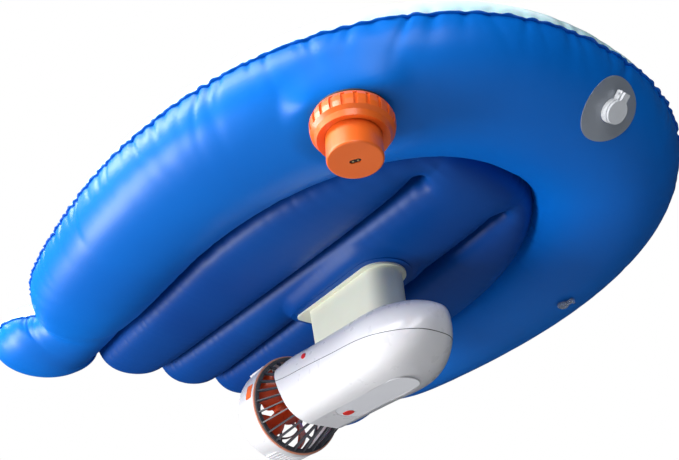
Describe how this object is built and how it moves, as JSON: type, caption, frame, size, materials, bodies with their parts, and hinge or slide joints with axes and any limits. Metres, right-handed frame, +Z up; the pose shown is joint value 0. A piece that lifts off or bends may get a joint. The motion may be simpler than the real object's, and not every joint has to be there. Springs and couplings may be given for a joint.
{
  "type": "inflatable float with underwater scooter",
  "caption": "U-shaped inflatable kickboard float with an electric ducted-propeller underwater scooter docked under its floor and a control pod through one side tube.",
  "frame": {"origin": "middle of the length and width, at the level of the scooter nozzle's lowest point", "axes": "+X forward, the way it travels; +Y port; +Z up, from the scooter to the float"},
  "size_m": [0.9209, 0.7084, 0.2731],
  "materials": {
    "skin_blue": "gloss PVC skin",
    "skin_pale": "gloss PVC skin",
    "clear_vinyl": "soft translucent vinyl",
    "orange_plastic": "satin moulded plastic",
    "orange_trim": "satin",
    "red_plastic": "gloss",
    "white_plastic": "gloss",
    "bracket_cream": "satin",
    "grey_plastic": "matte",
    "black_plastic": "matte",
    "seal_rubber": "matte",
    "gold_pins": "plated",
    "steel": "machined",
    "copper": "enamelled wire",
    "motor_alloy": "cast",
    "cells": "wrapped cells",
    "board": "laminate"
  },
  "bodies": {
    "float": {"charge_pins": "gold_pins", "charge_port_insert": "black_plastic", "dock_bracket": "bracket_cream", "drain_valve_stem": "clear_vinyl", "floor_lower_skin": "skin_blue", "floor_upper_skin": "skin_pale", "mount_patch": "skin_blue", "perimeter_weld": "skin_blue", "pod_battery": "cells", "pod_board": "board", "pod_gasket": "seal_rubber", "pod_housing": "orange_plastic", "pod_sleeve": "white_plastic", "pod_top_cap": "orange_plastic", "tube_lower_skin": "skin_blue", "tube_upper_skin": "skin_pale", "valve_hinge_pin": "steel", "valve_patch": "clear_vinyl", "valve_stem": "clear_vinyl"},
    "propeller": {"propeller": "red_plastic", "propeller_nut": "steel", "propeller_shaft": "steel", "rotor_core": "steel", "rotor_magnets": "steel"},
    "nozzle": {"nozzle_ring": "white_plastic", "nozzle_trim": "orange_trim", "outlet_guard": "grey_plastic"},
    "lock_tab": {"lock_tab": "orange_plastic"},
    "release_button_starboard": {"release_button_starboard": "red_plastic"},
    "release_button_port": {"release_button_port": "red_plastic"},
    "keel_button": {"keel_button": "red_plastic"},
    "power_button": {"power_button": "orange_trim"},
    "pod_grip_nut": {"pod_grip_nut": "orange_plastic"},
    "valve_plug": {"valve_plug": "clear_vinyl"},
    "drain_valve_plug": {"drain_valve_plug": "clear_vinyl"},
    "scooter": {"upper_shell": "white_plastic", "lower_shell": "white_plastic", "shell_gasket": "seal_rubber", "label_plate": "white_plastic", "rear_bulkhead": "grey_plastic", "motor_housing": "motor_alloy", "motor_screws": "steel", "shaft_seal": "seal_rubber", "rear_bearing": "steel", "front_bearing": "steel", "bearing_plate": "grey_plastic", "stator_core": "steel", "stator_windings": "copper", "guard_cage": "grey_plastic", "battery_cells": "cells", "cell_holder": "grey_plastic", "control_board": "board", "board_components": "board", "dock_rail": "grey_plastic", "rail_screws": "steel"}
  },
  "joints": [
    {"name": "dock_slide", "type": "slide", "parent": "float", "child": "scooter", "axis": [-1, 0, 0], "range_m": [0, 0.1]},
    {"name": "propeller_spin", "type": "hinge", "parent": "scooter", "child": "propeller", "pos_m": [-0.12, 0, 0.0675], "axis": [1, 0, 0], "continuous": true},
    {"name": "nozzle_twist", "type": "hinge", "parent": "scooter", "child": "nozzle", "pos_m": [-0.13, 0, 0.0675], "axis": [1, 0, 0], "range_deg": [0, 25]},
    {"name": "lock_tab_press", "type": "slide", "parent": "nozzle", "child": "lock_tab", "axis": [0, 0.9903, -0.1392], "range_m": [0, 0.0015], "stiffness_N_per_m": 900},
    {"name": "release_press_starboard", "type": "slide", "parent": "scooter", "child": "release_button_starboard", "axis": [0, 1, 0], "range_m": [0, 0.0015], "stiffness_N_per_m": 900},
    {"name": "release_press_port", "type": "slide", "parent": "scooter", "child": "release_button_port", "axis": [0, -1, 0], "range_m": [0, 0.0015], "stiffness_N_per_m": 900},
    {"name": "keel_button_press", "type": "slide", "parent": "scooter", "child": "keel_button", "axis": [0, 0, 1], "range_m": [0, 0.0012], "stiffness_N_per_m": 900},
    {"name": "power_button_press", "type": "slide", "parent": "float", "child": "power_button", "axis": [0, 0, -1], "range_m": [0, 0.0015], "stiffness_N_per_m": 900},
    {"name": "grip_nut_turn", "type": "hinge", "parent": "float", "child": "pod_grip_nut", "pos_m": [0.308, -0.202, 0.145], "axis": [0, 0, 1], "range_deg": [0, 90]},
    {"name": "valve_plug_hinge", "type": "hinge", "parent": "float", "child": "valve_plug", "pos_m": [0.44566, 0, 0.1736], "axis": [0, -1, 0], "range_deg": [0, 120]},
    {"name": "drain_plug_hinge", "type": "hinge", "parent": "float", "child": "drain_valve_plug", "pos_m": [0.19, 0.237, 0.147], "axis": [0, -1, 0], "range_deg": [0, 120]}
  ]
}
